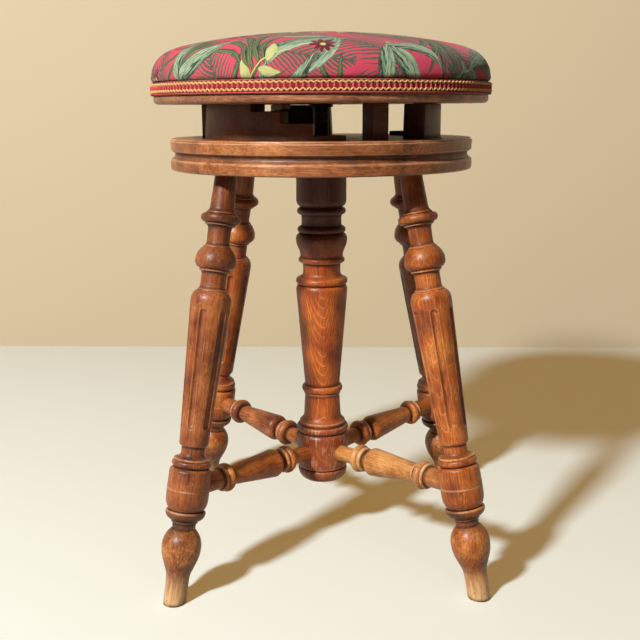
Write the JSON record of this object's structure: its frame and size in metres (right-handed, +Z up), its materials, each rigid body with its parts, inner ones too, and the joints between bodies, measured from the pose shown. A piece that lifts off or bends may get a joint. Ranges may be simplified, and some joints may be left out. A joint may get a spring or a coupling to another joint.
{
  "type": "revolving piano stool",
  "caption": "Turned beech piano stool with splayed fluted legs, hub stretchers and a round padded seat that turns and climbs on stepped wooden blocks.",
  "frame": {"origin": "on the floor under the column's axis", "axes": "+Z up along the column's axis, -Y to the front, +X to the right seen from the front"},
  "size_m": [0.335, 0.3397, 0.524],
  "materials": {
    "stained_beech": "reddish brown stained and varnished beech",
    "honey_beech": "pale honey varnished beech",
    "block_beech": "brown stained beech, worn",
    "dark_iron": "dark oiled iron",
    "seat_fabric": "crimson printed cotton with green foliage",
    "gimp": "burgundy and gold braid"
  },
  "bodies": {
    "stand": {"plateau": "stained_beech", "column": "stained_beech", "column_bush": "dark_iron", "leg_front_left": "stained_beech", "leg_front_right": "stained_beech", "leg_rear_right": "stained_beech", "leg_rear_left": "stained_beech", "stretcher_front_left": "stained_beech", "stretcher_front_right": "honey_beech", "stretcher_rear_right": "stained_beech", "stretcher_rear_left": "stained_beech", "stair_block_1": "block_beech", "stair_block_2": "block_beech", "stair_block_3": "block_beech"},
    "spindle": {"spindle": "dark_iron", "spindle_washer": "dark_iron", "spindle_nut": "dark_iron"},
    "seat": {"seat_flange": "dark_iron", "seat_board": "stained_beech", "seat_foot_1": "block_beech", "seat_foot_2": "block_beech", "seat_foot_3": "block_beech", "stop_block_1": "block_beech", "stop_block_2": "block_beech", "stop_block_3": "block_beech", "seat_cushion": "seat_fabric", "gimp_braid": "gimp"}
  },
  "joints": [
    {"name": "seat_rise", "type": "slide", "parent": "stand", "child": "spindle", "axis": [0, 0, 1], "range_m": [0, 0.0495]},
    {"name": "seat_turn", "type": "hinge", "parent": "spindle", "child": "seat", "pos_m": [0, 0, 0.46], "axis": [0, 0, -1], "range_deg": [0, 75]}
  ],
  "couplings": [
    {"joint": "seat_rise", "follows": "seat_turn", "m_per_rad": 0.0378}
  ]
}
